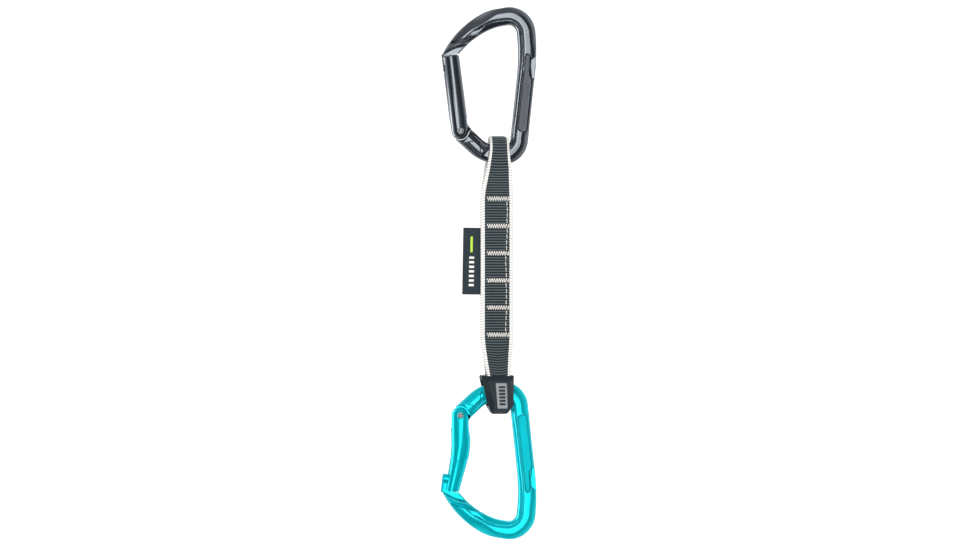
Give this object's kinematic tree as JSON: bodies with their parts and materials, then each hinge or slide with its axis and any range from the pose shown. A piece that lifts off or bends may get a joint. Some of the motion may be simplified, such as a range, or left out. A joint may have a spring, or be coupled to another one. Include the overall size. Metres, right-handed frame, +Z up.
{
  "type": "climbing quickdraw",
  "caption": "Climbing quickdraw: a straight-gate and a bent-gate carabiner, both sprung, joined by a bar-tacked webbing sling with a rubber guard.",
  "frame": {"origin": "highest point inside the upper carabiner's basket, where the anchor bears, on the mid plane", "axes": "+Z up the hanging draw, +X from the gates to the spines, +Y away from the labelled front"},
  "size_m": [0.0597, 0.02, 0.3297],
  "materials": {
    "dark_anodised": "glossy anodised",
    "teal_anodised": "glossy anodised",
    "rivet_steel": "brushed",
    "spring_steel": "drawn wire",
    "webbing": "woven, ribbed, with white edges",
    "thread": "twisted polyester thread",
    "label_fabric": "woven satin",
    "guard_rubber": "satin moulded",
    "badge_plastic": "satin"
  },
  "bodies": {
    "upper_carabiner": {"top_frame": "dark_anodised"},
    "upper_gate": {"top_gate": "dark_anodised", "top_rivet": "rivet_steel", "top_spring": "spring_steel"},
    "upper_plunger": {"top_plunger": "rivet_steel"},
    "sling": {"webbing_loop": "webbing", "bar_tack_1": "thread", "bar_tack_2": "thread", "bar_tack_3": "thread", "bar_tack_4": "thread", "bar_tack_5": "thread", "bar_tack_6": "thread", "travel_stitch": "thread", "side_label": "label_fabric", "string_guard": "guard_rubber", "guard_badge": "badge_plastic"},
    "lower_carabiner": {"bottom_frame": "teal_anodised"},
    "lower_gate": {"bottom_gate": "teal_anodised", "bottom_rivet": "rivet_steel", "bottom_spring": "spring_steel"},
    "lower_plunger": {"bottom_plunger": "rivet_steel"}
  },
  "joints": [
    {"name": "straight_gate_hinge", "type": "hinge", "parent": "upper_carabiner", "child": "upper_gate", "pos_m": [-0.03058, 0, -0.06563], "axis": [0, 1, 0], "range_deg": [0, 28], "stiffness_Nm_per_rad": 0.4, "springref_deg": -57.3},
    {"name": "straight_plunger_slide", "type": "slide", "parent": "upper_gate", "child": "upper_plunger", "axis": [-0.1284, 0, 0.9917], "range_m": [0, 0.002], "deforming": ["top_spring"]},
    {"name": "sling_swing", "type": "hinge", "parent": "upper_carabiner", "child": "sling", "pos_m": [-0.00668, 0, -0.08003], "axis": [1, 0, 0], "range_deg": [-120, 120]},
    {"name": "lower_carabiner_rock", "type": "hinge", "parent": "sling", "child": "lower_carabiner", "pos_m": [-0.00668, 0, -0.22693], "axis": [1, 0, 0], "range_deg": [-8, 8], "stiffness_Nm_per_rad": 0.2},
    {"name": "bent_gate_hinge", "type": "hinge", "parent": "lower_carabiner", "child": "lower_gate", "pos_m": [-0.03058, 0, -0.24133], "axis": [0, -1, 0], "range_deg": [0, 26], "stiffness_Nm_per_rad": 0.4, "springref_deg": -57.3},
    {"name": "bent_plunger_slide", "type": "slide", "parent": "lower_gate", "child": "lower_plunger", "axis": [0, 0, -1], "range_m": [0, 0.002], "deforming": ["bottom_spring"]}
  ],
  "couplings": [
    {"joint": "straight_plunger_slide", "follows": "straight_gate_hinge", "m_per_rad": 0.0035},
    {"joint": "bent_plunger_slide", "follows": "bent_gate_hinge", "m_per_rad": 0.0035}
  ]
}
